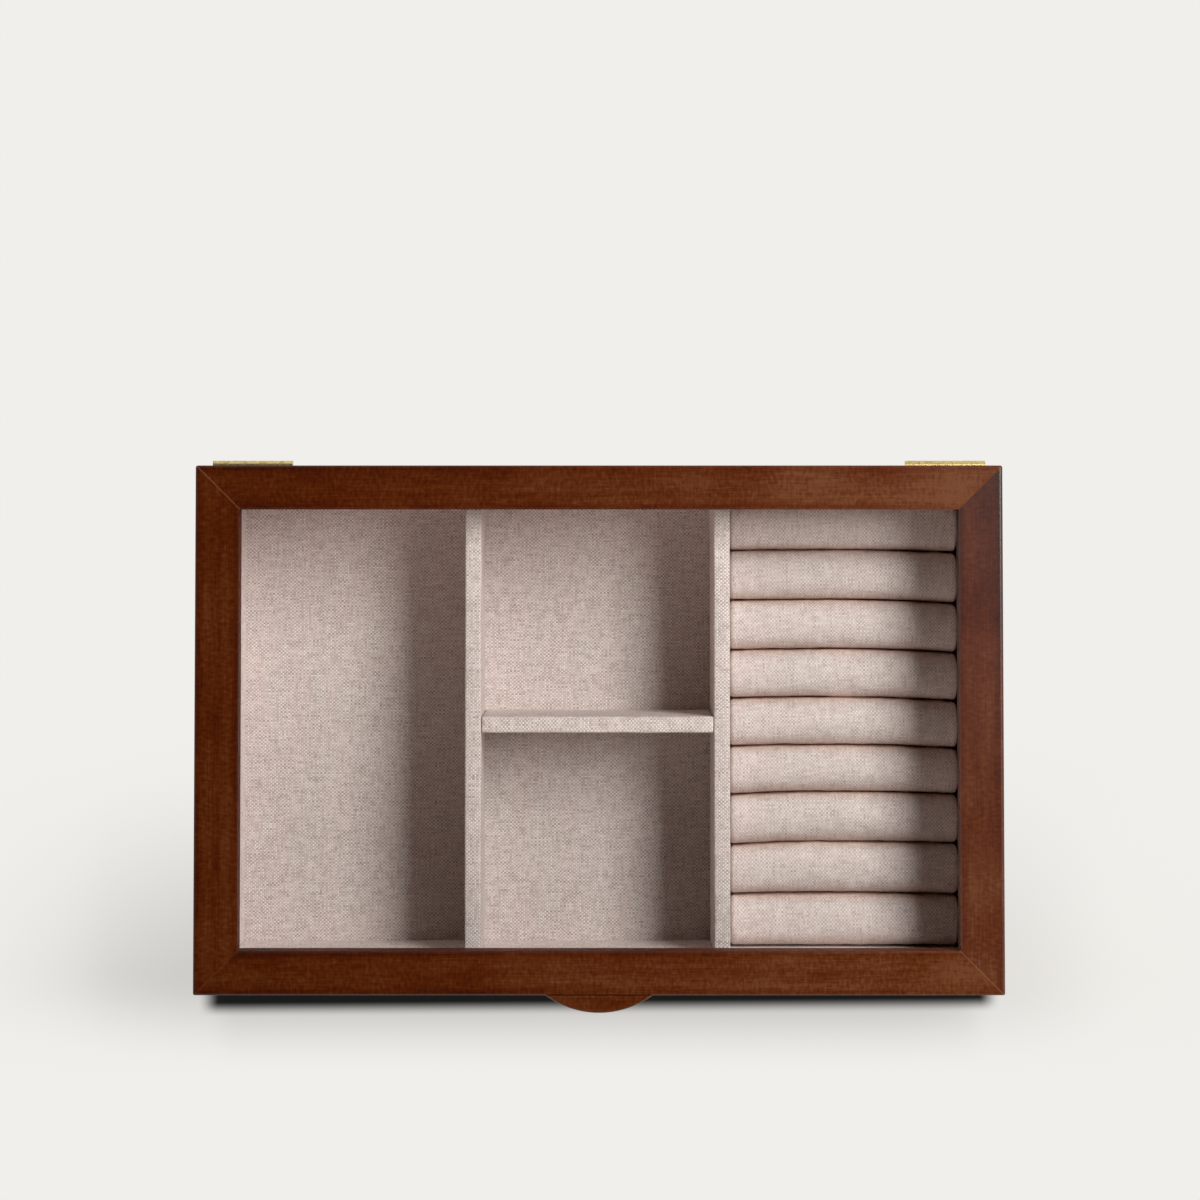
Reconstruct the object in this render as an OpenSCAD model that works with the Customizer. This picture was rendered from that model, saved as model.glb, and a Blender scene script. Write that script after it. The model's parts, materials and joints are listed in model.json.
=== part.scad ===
// Jewellery box with a hinged glass lid, three linen-lined bays and a row of ring rolls.
// Millimetres. +Z points up through the glass, +Y to the hinges, +X to the ring rolls.
// The origin is the middle of the case's footprint, on the surface that the box stands on.

/* [Case] */
// Width of the case over its two side walls
box_w = 250; // [200:1:320]
// Depth of the case from its front wall to its back wall
box_d = 163; // [140:1:220]
// Height of the case, from the surface it stands on to its rim
case_h = 47; // [40:0.5:80]
// Thickness of the four walls
wall_t = 8.3; // [7.8:0.1:12]
// Thickness of the base panel
base_t = 4; // [3:0.5:8]
// How far the base panel reaches into the walls
base_rebate = 4; // [2:0.1:5]
// Play between the base panel's edge and its rebate
base_play = 0.2; // [0.1:0.05:0.5]
// Thickness of the felt under the base panel
felt_t = 1; // [0.5:0.1:2]
// Rounding of the outer edges of the case and the lid
edge_r = 0.8; // [0.4:0.1:2]

/* [Lining] */
// Thickness of the linen-covered card on the inner walls
lining_t = 2; // [1.2:0.1:3]
// How far the top of the lining stays below the rim
lining_drop = 1.5; // [0.5:0.1:6]
// Thickness of the linen-covered floor pads
pad_t = 2; // [1:0.1:4]
// Rounding of the covered edges of linings and dividers
soft_r = 0.7; // [0.3:0.1:0.9]

/* [Bays] */
// Width of the long bay on the left
left_bay_w = 72.6; // [50:0.2:80]
// Width of the bay for the ring rolls on the right
ring_bay_w = 73.6; // [50:0.2:80]
// Thickness of a covered divider
divider_t = 5.2; // [3:0.1:8]
// How far the top of a divider stays below the rim
divider_drop = 1.5; // [0.5:0.1:12]
// How far behind the middle of the box the cross divider stands
cross_shift = 0.6; // [-25:0.2:25]

/* [Ring rolls] */
// Number of ring rolls
roll_count = 9; // [5:1:10]
// Height of a ring roll above the floor of its bay
roll_h = 22; // [14:0.1:30]
// How far the rounded top of a roll rises above its straight sides
roll_crown = 3.2; // [2:0.1:5]
// Rounding of a roll's shoulders and feet
roll_edge_r = 3.5; // [1:0.1:4]
// Gap between neighbouring rolls
roll_gap = 0.3; // [0.2:0.05:1]
// Gap at each end of a roll
roll_end_gap = 0.5; // [0.3:0.1:2]

/* [Lid] */
// Thickness of the lid
lid_t = 13; // [12:0.5:18]
// Width of the lid's rails and stiles, seen from above
rail_w = 13.6; // [12.5:0.1:22]
// Depth from the top of the lid down to the glass
glass_drop = 7.5; // [5:0.1:8]
// Thickness of the glass
glass_t = 2.5; // [2:0.1:3]
// Width of the rebate that holds the glass
glass_rebate = 5; // [4.2:0.1:6]
// Play between the glass and the wall of its rebate
glass_play = 0.4; // [0.2:0.1:0.8]
// Width of the beads that hold the glass from below
bead_w = 3.5; // [2.5:0.1:4]
// Gap between the closed lid and the rim of the case
lid_gap = 0.3; // [0.2:0.05:0.8]

/* [Thumb lip] */
// Width of the lip where it meets the front of the lid
lip_w = 33; // [20:1:60]
// How far the lip stands out from the front of the lid
lip_out = 5.4; // [3:0.1:10]
// Thickness of the lip
lip_t = 6; // [3:0.5:10]

/* [Hinges] */
// Length of a hinge
hinge_len = 25; // [22:0.5:30]
// Distance from a hinge to the side of the box
hinge_inset = 4; // [3:0.5:40]
// Width of a leaf, from the pin to its far edge
leaf_w = 7; // [6:0.1:7.4]
// Thickness of a leaf
leaf_t = 0.9; // [0.6:0.1:1.2]
// Diameter of the knuckles
knuckle_d = 3.2; // [2.8:0.1:3.6]
// Width of one of the three knuckles on the case leaf
case_knuckle_w = 4.2; // [3:0.1:6]
// Side gap between neighbouring knuckles
knuckle_gap = 0.2; // [0.1:0.05:0.4]
// Diameter of the pin
pin_d = 1.6; // [1.2:0.1:1.8]
// Radial play of the pin in the knuckles
pin_play = 0.04; // [0.02:0.01:0.08]
// How far the pin lies behind the back of the box
pin_behind = 0.1; // [0:0.05:0.6]
// Gap that keeps the turning knuckles clear of leaves and wood
turn_gap = 0.3; // [0.25:0.05:0.5]
// Play at the ends of a leaf in its mortise
mortise_play = 0.2; // [0.1:0.05:0.4]

/* [Screws] */
// Diameter of a screw's head
screw_head_d = 3; // [2.4:0.1:3.4]
// Height of a screw's tapered head
screw_head_h = 0.8; // [0.6:0.1:1.2]
// Diameter of a screw's shank
screw_d = 1.6; // [1.2:0.1:2]
// Length of a screw
screw_len = 7; // [5:0.5:9]
// Distance between the two screws of a leaf
screw_pitch = 15; // [10:0.5:17]
// Play round a screw in the brass and in the wood
screw_play = 0.05; // [0.03:0.01:0.1]

/* [Hidden] */
$fn = 48;
eps = 1; // how far a cutter runs past the face that it opens

wood = "#6b2d14";
inner_wood = "#8a5a34";
linen = "#cbbbae";
felt = "#3b2f28";
glass = [0.86, 0.93, 0.92, 0.3];
brass = "#d3b04f";

// Heights in the case
panel_z = felt_t;
panel_top = panel_z + base_t;
floor_z = panel_top + pad_t;
lining_top = case_h - lining_drop;
divider_top = case_h - divider_drop;

// Room inside the lining
room_w = box_w - 2 * (wall_t + lining_t);
room_d = box_d - 2 * (wall_t + lining_t);
middle_bay_w = room_w - left_bay_w - ring_bay_w - 2 * divider_t;

// Where the dividers and bays lie, from left to right
left_bay_x = -room_w / 2;
divider_left_x = left_bay_x + left_bay_w;
middle_bay_x = divider_left_x + divider_t;
divider_right_x = middle_bay_x + middle_bay_w;
ring_bay_x = divider_right_x + divider_t;
cross_front_y = cross_shift - divider_t / 2;
cross_back_y = cross_shift + divider_t / 2;

// Ring rolls
roll_w = (room_d - (roll_count + 1) * roll_gap) / roll_count;
roll_len = ring_bay_w - 2 * roll_end_gap;

// Lid
lid_z = case_h + lid_gap;
lid_top = lid_z + lid_t;
glass_top = lid_top - glass_drop;
rebate_h = lid_t - glass_drop;
bead_h = rebate_h - glass_t;
opening_w = box_w - 2 * rail_w;
opening_d = box_d - 2 * rail_w;

// Hinges
pin_y = box_d / 2 + pin_behind;
pin_z = case_h + lid_gap / 2;
hinge_x = box_w / 2 - hinge_inset - hinge_len / 2;
knuckle_r = knuckle_d / 2;
plate_edge = knuckle_r + turn_gap;
lid_knuckle_w = (hinge_len - 3 * case_knuckle_w) / 2;
screw_y = -(plate_edge + leaf_w) / 2;
screw_tip_h = screw_d * 0.8;

ROLLS = [for (i = [1:roll_count]) str("ring_roll_", i)];

// Sides of the box for on_side(), counted anticlockwise from the front
FRONT = 0;
RIGHT = 1;
BACK = 2;
LEFT = 3;

// ---------- Shapes that repeat ----------

// The radius of an arc that rises that far above its chord.
function arc_radius(chord, rise) = (pow(chord / 2, 2) + pow(rise, 2)) / (2 * rise);

// A rectangle in the XY plane from (0, 0), with its two corners on the left rounded.
module eased_section(w, h, r) {
    translate([r, 0]) square([w - r, h]);
    translate([0, r]) square([w, h - 2 * r]);
    translate([r, r]) circle(r);
    translate([r, h - r]) circle(r);
}

// A rectangle centred on the origin, with its four corners rounded.
module rounded_rect(w, d, r) {
    square([w - 2 * r, d], center = true);
    square([w, d - 2 * r], center = true);
    for (x = [-1, 1], y = [-1, 1])
        translate([x * (w / 2 - r), y * (d / 2 - r)]) circle(r);
}

// Turns its children from the front of a w by d rectangle to another side of it.
// On each side, -Y faces out and the side's outer face is the plane y = 0.
module on_side(side, w, d) {
    out = (side == FRONT || side == BACK ? d : w) / 2;
    rotate([0, 0, 90 * side]) translate([0, -out, 0]) children();
}

function side_length(side, w, d) = side == FRONT || side == BACK ? w : d;

// A bar with mitred ends. Its child is the section: x runs inwards from the outer face, y upwards.
module mitred_bar(length, width, height) {
    intersection() {
        rotate([90, 0, 90])
            linear_extrude(length, center = true)
                children();
        linear_extrude(height)
            polygon([
                [-length / 2, 0], [length / 2, 0],
                [length / 2 - width, width], [-length / 2 + width, width]
            ]);
    }
}

// ---------- Case ----------

module wall_section() {
    difference() {
        eased_section(wall_t, case_h, edge_r);
        translate([wall_t - base_rebate, -eps])
            square([base_rebate + eps, panel_top + eps]);
    }
}

module case_wall(side) {
    color(wood)
        difference() {
            intersection() {
                on_side(side, box_w, box_d)
                    mitred_bar(side_length(side, box_w, box_d), wall_t, case_h)
                        wall_section();
                linear_extrude(case_h) rounded_rect(box_w, box_d, edge_r);
            }
            hinge_mortises(in_lid = false);
        }
}

module base_sheet(thickness) {
    w = box_w - 2 * (wall_t - base_rebate + base_play);
    d = box_d - 2 * (wall_t - base_rebate + base_play);
    linear_extrude(thickness) square([w, d], center = true);
}

module base_panel() {
    color(inner_wood) translate([0, 0, panel_z]) base_sheet(base_t);
}

module base_felt() {
    color(felt) base_sheet(felt_t);
}

// ---------- Lining and dividers ----------

// The front and back cards run the full width, and the side cards fit between them.
module lining(side) {
    length = side == FRONT || side == BACK ? room_w + 2 * lining_t : room_d;
    h = lining_top - panel_top;
    color(linen)
        translate([0, 0, panel_top])
            on_side(side, room_w + 2 * lining_t, room_d + 2 * lining_t)
                rotate([90, 0, 90])
                    linear_extrude(length, center = true)
                        lining_section(h);
}

// The card stands against the wall, and its inner upper edge is rounded by the cloth over it.
module lining_section(h) {
    square([lining_t, h - soft_r]);
    square([lining_t - soft_r, h]);
    translate([lining_t - soft_r, h - soft_r]) circle(soft_r);
}

// A covered board along X, from x = 0 and y = 0, with both upper edges rounded.
module covered_board(length) {
    h = divider_top - panel_top;
    translate([0, 0, panel_top])
        rotate([90, 0, 90])
            linear_extrude(length) {
                square([divider_t, h - soft_r]);
                translate([soft_r, 0]) square([divider_t - 2 * soft_r, h]);
                translate([soft_r, h - soft_r]) circle(soft_r);
                translate([divider_t - soft_r, h - soft_r]) circle(soft_r);
            }
}

module long_divider(x) {
    color(linen)
        translate([x + divider_t, -room_d / 2, 0])
            rotate([0, 0, 90])
                covered_board(room_d);
}

module divider_cross() {
    color(linen) translate([middle_bay_x, cross_front_y, 0]) covered_board(middle_bay_w);
}

module floor_pad(x, y0, width, y1) {
    color(linen)
        translate([x, y0, panel_top])
            cube([width, y1 - y0, pad_t]);
}

// ---------- Ring rolls ----------

// A roll is a foam bar with a low crown over straight sides, and soft shoulders and feet.
module roll_section() {
    crown_r = arc_radius(roll_w, roll_crown);
    intersection() {
        translate([0, roll_h / 2]) rounded_rect(roll_w, roll_h, roll_edge_r);
        union() {
            translate([-roll_w / 2, 0]) square([roll_w, roll_h - roll_crown]);
            translate([0, roll_h - crown_r]) circle(crown_r, $fn = 96);
        }
    }
}

// Roll 1 is the one at the back.
module ring_roll(i) {
    y = room_d / 2 - roll_gap - roll_w / 2 - (i - 1) * (roll_w + roll_gap);
    color(linen)
        translate([ring_bay_x + roll_end_gap, y, floor_z])
            rotate([90, 0, 90])
                linear_extrude(roll_len)
                    roll_section();
}

// ---------- Lid ----------

module lid_section() {
    difference() {
        eased_section(rail_w, lid_t, edge_r);
        translate([rail_w - glass_rebate, -eps])
            square([glass_rebate + eps, rebate_h + eps]);
    }
}

module lid_bar(side) {
    color(wood)
        difference() {
            intersection() {
                translate([0, 0, lid_z])
                    on_side(side, box_w, box_d)
                        mitred_bar(side_length(side, box_w, box_d), rail_w, lid_t)
                            lid_section();
                translate([0, 0, lid_z])
                    linear_extrude(lid_t)
                        rounded_rect(box_w, box_d, edge_r);
            }
            hinge_mortises(in_lid = true);
        }
}

module glass_pane() {
    w = opening_w + 2 * (glass_rebate - glass_play);
    d = opening_d + 2 * (glass_rebate - glass_play);
    color(glass)
        translate([0, 0, glass_top - glass_t])
            linear_extrude(glass_t)
                square([w, d], center = true);
}

// A bead stands in the rebate under the glass, and its inner lower edge is a quarter round.
module bead_section() {
    r = min(bead_w, bead_h) / 2;
    translate([0, r]) square([bead_w, bead_h - r]);
    square([bead_w - r, bead_h]);
    translate([bead_w - r, r]) circle(r);
}

module glazing_bead(side) {
    w = opening_w + 2 * glass_rebate;
    d = opening_d + 2 * glass_rebate;
    color(wood)
        translate([0, 0, lid_z])
            on_side(side, w, d)
                mitred_bar(side_length(side, w, d), bead_w, bead_h)
                    bead_section();
}

// The lip is the part of a thick disc with an eased rim that stands in front of the lid.
module thumb_lip() {
    disc_r = arc_radius(lip_w, lip_out);
    front_y = -box_d / 2;
    color(wood)
        intersection() {
            translate([0, front_y - lip_out + disc_r, lid_top - lip_t])
                rotate_extrude($fn = 120)
                    translate([disc_r, 0]) mirror([1, 0])
                        eased_section(disc_r, lip_t, edge_r);
            translate([-lip_w, front_y - lip_out - eps, lid_top - lip_t])
                cube([2 * lip_w, lip_out + eps, lip_t]);
        }
}

// ---------- Hinges ----------

// A hinge's own frame has its pin along X through the origin, and its leaves towards -Y.
// The case leaf lies below the pin. The lid leaf is its mirror image above the pin.

module at_hinge(side) {
    translate([side * hinge_x, pin_y, pin_z]) children();
}

module at_screws() {
    for (x = [-1, 1])
        translate([x * screw_pitch / 2, screw_y, -lid_gap / 2]) children();
}

// Knuckles 0, 2 and 4 are on the case leaf, and 1 and 3 are on the lid leaf.
function knuckle_start(i) =
    -hinge_len / 2 + ceil(i / 2) * case_knuckle_w + floor(i / 2) * lid_knuckle_w;

function knuckle_width(i) = i % 2 == 0 ? case_knuckle_w : lid_knuckle_w;

// One knuckle with the strap that joins it to its leaf.
module knuckle(i) {
    first = i == 0 ? 0 : knuckle_gap / 2;
    last = i == 4 ? 0 : knuckle_gap / 2;
    w = knuckle_width(i) - first - last;
    translate([knuckle_start(i) + first, 0, 0]) {
        rotate([90, 0, 90]) cylinder(r = knuckle_r, h = w);
        translate([0, -plate_edge, -lid_gap / 2 - leaf_t]) cube([w, plate_edge, leaf_t]);
    }
}

module case_leaf(knuckles) {
    color(brass)
        difference() {
            union() {
                translate([-hinge_len / 2, -leaf_w, -lid_gap / 2 - leaf_t])
                    cube([hinge_len, leaf_w - plate_edge, leaf_t]);
                for (i = knuckles) knuckle(i);
            }
            rotate([90, 0, 90])
                cylinder(r = pin_d / 2 + pin_play, h = hinge_len + 2 * eps, center = true);
            at_screws() screw_shape(screw_play);
        }
}

module lid_leaf() {
    mirror([0, 0, 1]) case_leaf([1, 3]);
}

module hinge_pin() {
    color(brass)
        rotate([90, 0, 90]) cylinder(r = pin_d / 2, h = hinge_len, center = true);
}

// A countersunk wood screw that points down from the face of its leaf.
// play widens it all round, which makes it the cutter for its own hole.
module screw_shape(play = 0) {
    head_r = screw_head_d / 2 + play;
    shank_r = screw_d / 2 + play;
    head_top = play > 0 ? eps : 0;
    rotate_extrude($fn = 32)
        polygon([
            [0, head_top], [head_r, head_top], [head_r, 0],
            [shank_r, -screw_head_h], [shank_r, -screw_len + screw_tip_h],
            [0, -screw_len - play]
        ]);
}

module screw() {
    slot_w = screw_head_d / 6;
    slot_depth = screw_head_h / 2;
    color(brass)
        difference() {
            screw_shape();
            translate([-screw_head_d, -slot_w / 2, -slot_depth])
                cube([2 * screw_head_d, slot_w, slot_depth + eps]);
        }
}

module case_hinge_screws() {
    for (side = [-1, 1]) at_hinge(side) at_screws() screw();
}

module lid_hinge_screws() {
    for (side = [-1, 1]) at_hinge(side) mirror([0, 0, 1]) at_screws() screw();
}

// What the hinges need cut away in the case or in the lid: a mortise as deep as the leaf,
// a round relief behind it for the knuckles, and the screw holes.
module hinge_mortises(in_lid) {
    length = hinge_len + 2 * mortise_play;
    for (side = [-1, 1])
        at_hinge(side)
            mirror([0, 0, in_lid ? 1 : 0]) {
                translate([-length / 2, -leaf_w, -lid_gap / 2 - leaf_t])
                    cube([length, leaf_w + eps, leaf_t + eps]);
                rotate([90, 0, 90])
                    cylinder(r = plate_edge, h = length, center = true);
                at_screws() screw_shape(screw_play);
            }
}

// ---------- Nodes ----------

case_wall(FRONT);  // case_front_wall
case_wall(BACK);  // case_back_wall
case_wall(LEFT);  // case_left_wall
case_wall(RIGHT);  // case_right_wall
base_panel();
base_felt();
lining(FRONT);  // lining_front
lining(BACK);  // lining_back
lining(LEFT);  // lining_left
lining(RIGHT);  // lining_right
floor_pad(left_bay_x, -room_d / 2, left_bay_w, room_d / 2);  // floor_pad_left
floor_pad(middle_bay_x, cross_back_y, middle_bay_w, room_d / 2);  // floor_pad_middle_rear
floor_pad(middle_bay_x, -room_d / 2, middle_bay_w, cross_front_y);  // floor_pad_middle_front
floor_pad(ring_bay_x, -room_d / 2, ring_bay_w, room_d / 2);  // floor_pad_rings
long_divider(divider_left_x);  // divider_left
long_divider(divider_right_x);  // divider_right
divider_cross();
for (i = [1:roll_count])
    ring_roll(i);
lid_bar(FRONT);  // lid_front_rail
lid_bar(BACK);  // lid_back_rail
lid_bar(LEFT);  // lid_left_stile
lid_bar(RIGHT);  // lid_right_stile
glass_pane();
glazing_bead(FRONT);  // glazing_bead_front
glazing_bead(BACK);  // glazing_bead_back
glazing_bead(LEFT);  // glazing_bead_left
glazing_bead(RIGHT);  // glazing_bead_right
thumb_lip();
at_hinge(-1) case_leaf([0, 2, 4]);  // hinge_left_case_leaf
at_hinge(-1) lid_leaf();  // hinge_left_lid_leaf
at_hinge(-1) hinge_pin();  // hinge_left_pin
at_hinge(1) case_leaf([0, 2, 4]);  // hinge_right_case_leaf
at_hinge(1) lid_leaf();  // hinge_right_lid_leaf
at_hinge(1) hinge_pin();  // hinge_right_pin
case_hinge_screws();
lid_hinge_screws();
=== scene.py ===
# %% [markdown]
# # A jewellery box with a glass lid
# A low wooden box: mitred walls, a lid of four rails round a pane of glass, two small brass
# hinges at the back, and a half-moon lip at the front to lift the lid by. Inside, boards
# covered in linen make a long bay, two square bays and a bay with nine ring rolls.
# The construction comes from the CAD model and is never moved here. These cells give every
# surface its finish, and make the linen pieces as the soft things that they are.

# %% Load the frame
import json
import math

import bmesh
import bpy
import numpy as np
from mathutils import Matrix, Vector, noise


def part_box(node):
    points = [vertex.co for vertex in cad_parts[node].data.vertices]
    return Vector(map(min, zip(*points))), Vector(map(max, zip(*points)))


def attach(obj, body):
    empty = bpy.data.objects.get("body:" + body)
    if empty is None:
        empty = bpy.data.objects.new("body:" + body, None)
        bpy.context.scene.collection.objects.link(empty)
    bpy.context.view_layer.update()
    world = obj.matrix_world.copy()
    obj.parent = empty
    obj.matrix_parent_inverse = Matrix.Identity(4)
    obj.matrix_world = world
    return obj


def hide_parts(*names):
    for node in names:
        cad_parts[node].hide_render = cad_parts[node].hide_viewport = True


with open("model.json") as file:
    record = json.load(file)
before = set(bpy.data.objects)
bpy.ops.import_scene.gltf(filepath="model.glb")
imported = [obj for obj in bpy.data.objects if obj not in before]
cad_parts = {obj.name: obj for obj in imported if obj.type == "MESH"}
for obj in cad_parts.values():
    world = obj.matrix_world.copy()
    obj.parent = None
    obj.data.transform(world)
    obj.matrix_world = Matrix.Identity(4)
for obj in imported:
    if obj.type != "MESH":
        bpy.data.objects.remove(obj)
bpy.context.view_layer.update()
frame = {"nodes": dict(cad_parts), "record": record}
MM = 0.001

# %% [markdown]
# ## Sizes taken from the frame
# A size that the frame can give is never typed again.

# %% Read the sizes
BOX_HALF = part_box("lid_back_rail")[1]        # half the width, half the depth, top of the lid
FLOOR_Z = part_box("floor_pad_left")[1].z
ROLL_NAMES = sorted(name for name in frame["nodes"] if name.startswith("ring_roll_"))
print(f"lid top {BOX_HALF.z / MM:.1f} mm, bay floor {FLOOR_Z / MM:.1f} mm, {len(ROLL_NAMES)} rolls")

# %% [markdown]
# ## Writing nodes as sums
# A material is easier to read as a formula than as fifty boxes with wires. This class wraps
# one socket of a node tree, and a sum, product or comparison of two of them adds the Math
# node that works it out. It serves materials, the world and Geometry Nodes alike.

# %% A socket that does arithmetic
class Value:
    """One output socket. Arithmetic on it adds Math nodes to its tree."""

    def __init__(self, tree, socket):
        self.tree = tree
        self.socket = socket

    def math(self, operation, *others):
        return self.tree.maths(operation, self, *others)

    def __add__(self, other):
        return self.math("ADD", other)

    def __sub__(self, other):
        return self.math("SUBTRACT", other)

    def __rsub__(self, other):
        return self.tree.maths("SUBTRACT", other, self)

    def __mul__(self, other):
        return self.math("MULTIPLY", other)

    def __truediv__(self, other):
        return self.math("DIVIDE", other)

    def __rtruediv__(self, other):
        return self.tree.maths("DIVIDE", other, self)

    def __pow__(self, other):
        return self.math("POWER", other)

    def __gt__(self, other):
        return self.math("GREATER_THAN", other)

    def __lt__(self, other):
        return self.math("LESS_THAN", other)

    def __abs__(self):
        return self.math("ABSOLUTE")

    def __neg__(self):
        return self.math("MULTIPLY", -1.0)

    __radd__ = __add__
    __rmul__ = __mul__

    def between(self, low, high):
        """0 below low, 1 above high, and a smooth step between the two."""
        settings = {"interpolation_type": "SMOOTHSTEP"}
        return self.tree.node("ShaderNodeMapRange", settings, {0: self, 1: low, 2: high})


# %% One method for every other node
class Tree:
    """A node tree that is being written."""

    def __init__(self, node_tree):
        self.node_tree = node_tree
        node_tree.nodes.clear()

    def node(self, kind, settings=None, inputs=None, output=0):
        """Adds a node, with its settings first, and returns one of its outputs."""
        made = self.node_tree.nodes.new(kind)
        for key, value in (settings or {}).items():
            if key == "stops":
                self.set_stops(made.color_ramp.elements, value)
            else:
                setattr(made, key, value)
        for key, value in (inputs or {}).items():
            if isinstance(value, Value):
                self.node_tree.links.new(value.socket, made.inputs[key])
            else:
                made.inputs[key].default_value = value
        return Value(self, made.outputs[output]) if made.outputs else None

    def set_stops(self, elements, stops):
        while len(elements) < len(stops):
            elements.new(0.5)
        for element, (place, colour) in zip(elements, stops):
            element.position = place
            element.color = (*colour, 1.0)

    def maths(self, operation, *values):
        return self.node("ShaderNodeMath", {"operation": operation}, dict(enumerate(values)))

    def vector(self, x=0.0, y=0.0, z=0.0):
        return self.node("ShaderNodeCombineXYZ", None, {0: x, 1: y, 2: z})

    def split(self, vector):
        return [self.node("ShaderNodeSeparateXYZ", None, {0: vector}, axis) for axis in range(3)]

    def noise(self, vector, scale=1.0, detail=2.0, roughness=0.5):
        inputs = {"Vector": vector, "Scale": scale, "Detail": detail, "Roughness": roughness}
        return self.node("ShaderNodeTexNoise", None, inputs)

    def ramp(self, value, stops):
        return self.node("ShaderNodeValToRGB", {"stops": stops}, {0: value})

    def mix(self, share, first, second):
        """The colour first where share is 0, and second where it is 1."""
        first = first if isinstance(first, Value) else (*first, 1.0)
        second = second if isinstance(second, Value) else (*second, 1.0)
        return self.node("ShaderNodeMix", {"data_type": "RGBA"}, {0: share, 6: first, 7: second}, 2)

    def scaled(self, colour, factor):
        settings = {"operation": "SCALE"}
        return self.node("ShaderNodeVectorMath", settings, {0: colour, "Scale": factor})

    def bump(self, height, depth, strength):
        inputs = {"Height": height, "Distance": depth, "Strength": strength}
        return self.node("ShaderNodeBump", None, inputs)

    def object_place(self):
        return self.node("ShaderNodeTexCoord", None, None, "Object")


print("node helpers are ready")


# %% A new material, and how a piece gets it
def new_material(name):
    material = bpy.data.materials.new(name)
    material.use_nodes = True
    return material, Tree(material.node_tree)


def surface(tree, shader):
    tree.node("ShaderNodeOutputMaterial", None, {"Surface": shader})


def principled(tree, **inputs):
    named = {key.replace("_", " "): value for key, value in inputs.items()}
    surface(tree, tree.node("ShaderNodeBsdfPrincipled", None, named))


def dress(piece, material):
    """Gives the whole piece that one material."""
    if not piece.data.materials:
        piece.data.materials.append(material)
    for slot in piece.material_slots:
        slot.link = "OBJECT"
        slot.material = material


def nodes_of(slot):
    """The names of the CAD nodes that the record gives that material slot."""
    return [part["node"] for part in frame["record"]["subparts"] if part["material_slot"] == slot]


# %% [markdown]
# ## The camera
# The camera hangs over the glass. It stands a little behind the middle, so that the front
# walls of the bays show and the back ones don't. It looks down and slightly back, which makes
# the box a touch narrower at the back, and the lens is shifted to bring the box to its place
# in the picture again.

# %% Hang the camera
CAMERA_HEIGHT = 1.0889
CAMERA_BEHIND_MIDDLE = 0.064
CAMERA_TILT = 0.045      # radians
LENS = 99.6              # mm, on a sensor of 36 mm
LENS_SHIFT = (0.0008, -0.1896)


def hang_camera():
    data = bpy.data.cameras.new("camera")
    data.lens = LENS
    data.sensor_width = 36
    data.shift_x, data.shift_y = LENS_SHIFT
    data.clip_end = 50
    camera = bpy.data.objects.new("camera", data)
    camera.location = (0, CAMERA_BEHIND_MIDDLE, CAMERA_HEIGHT)
    camera.rotation_euler = (CAMERA_TILT, 0, 0)
    bpy.context.scene.collection.objects.link(camera)
    bpy.context.scene.camera = camera


hang_camera()
bpy.context.scene.view_settings.view_transform = "Standard"

# %% [markdown]
# ## Studio light
# One softbox to the upper right gives the long soft shadows across the bays. Its size and
# distance decide how wide the shadows' edges are, so it hangs where a real one would, and
# its long side runs along the box. The world adds a faint fill, most of it from the front,
# where a white table would throw light back.

# %% Hang the softbox
SOFTBOX_PLACE = Vector((0.491, 0.315, 0.7625))
SOFTBOX_AIM = Vector((0.0, 0.0, 0.05))
SOFTBOX_SIZE = (0.345, 0.63)
SOFTBOX_WATTS = 8.3
SOFTBOX_COLOUR = (1.0, 0.985, 0.96)


def hang_softbox():
    data = bpy.data.lights.new("softbox", "AREA")
    data.shape = "RECTANGLE"
    data.size, data.size_y = SOFTBOX_SIZE
    data.energy = SOFTBOX_WATTS
    data.color = SOFTBOX_COLOUR
    softbox = bpy.data.objects.new("softbox", data)
    back = (SOFTBOX_PLACE - SOFTBOX_AIM).normalized()
    side = Vector((0, 1, 0)).cross(back).normalized()
    turn = Matrix((side, back.cross(side), back)).transposed()
    softbox.matrix_world = Matrix.Translation(SOFTBOX_PLACE) @ turn.to_4x4()
    bpy.context.scene.collection.objects.link(softbox)


hang_softbox()
print(f"the softbox hangs {(SOFTBOX_PLACE - SOFTBOX_AIM).length:.2f} m away")

# %% Fill light and background from the world
PALE = (0.871, 0.863, 0.831)
CEILING = (0.03, 0.03, 0.03)
FILL_FRONT = (0.75, 0.655, 0.605)
FILL_BACK = (0.015, 0.005, 0.0)
FILL_LEFT = (0.47, 0.39, 0.35)
PALE_TO_CEILING = (0.3, 0.95)
FRONT_TO_BACK = (-0.85, -0.1)
TO_LEFT = (0.6, 0.95)


def seen(tree):
    """1 for rays that bring a picture to the eye: straight, in a mirror or through glass."""
    rays = [tree.node("ShaderNodeLightPath", None, None, name)
            for name in ("Is Camera Ray", "Is Glossy Ray", "Is Transmission Ray")]
    return rays[0].math("MAXIMUM", rays[1]).math("MAXIMUM", rays[2])


def light_world():
    world = bpy.data.worlds.new("studio")
    world.use_nodes = True
    tree = Tree(world.node_tree)
    east, north, up = tree.split(tree.node("ShaderNodeTexCoord", None, None, "Generated"))
    background = tree.mix(up.between(*PALE_TO_CEILING), PALE, CEILING)
    fill = tree.mix(north.between(*FRONT_TO_BACK), FILL_FRONT, FILL_BACK)
    fill = tree.mix((-east).between(*TO_LEFT), fill, FILL_LEFT)
    colour = tree.mix(seen(tree), fill, background)
    tree.node("ShaderNodeOutputWorld", None,
              {"Surface": tree.node("ShaderNodeBackground", None, {"Color": colour})})
    bpy.context.scene.world = world


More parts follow.
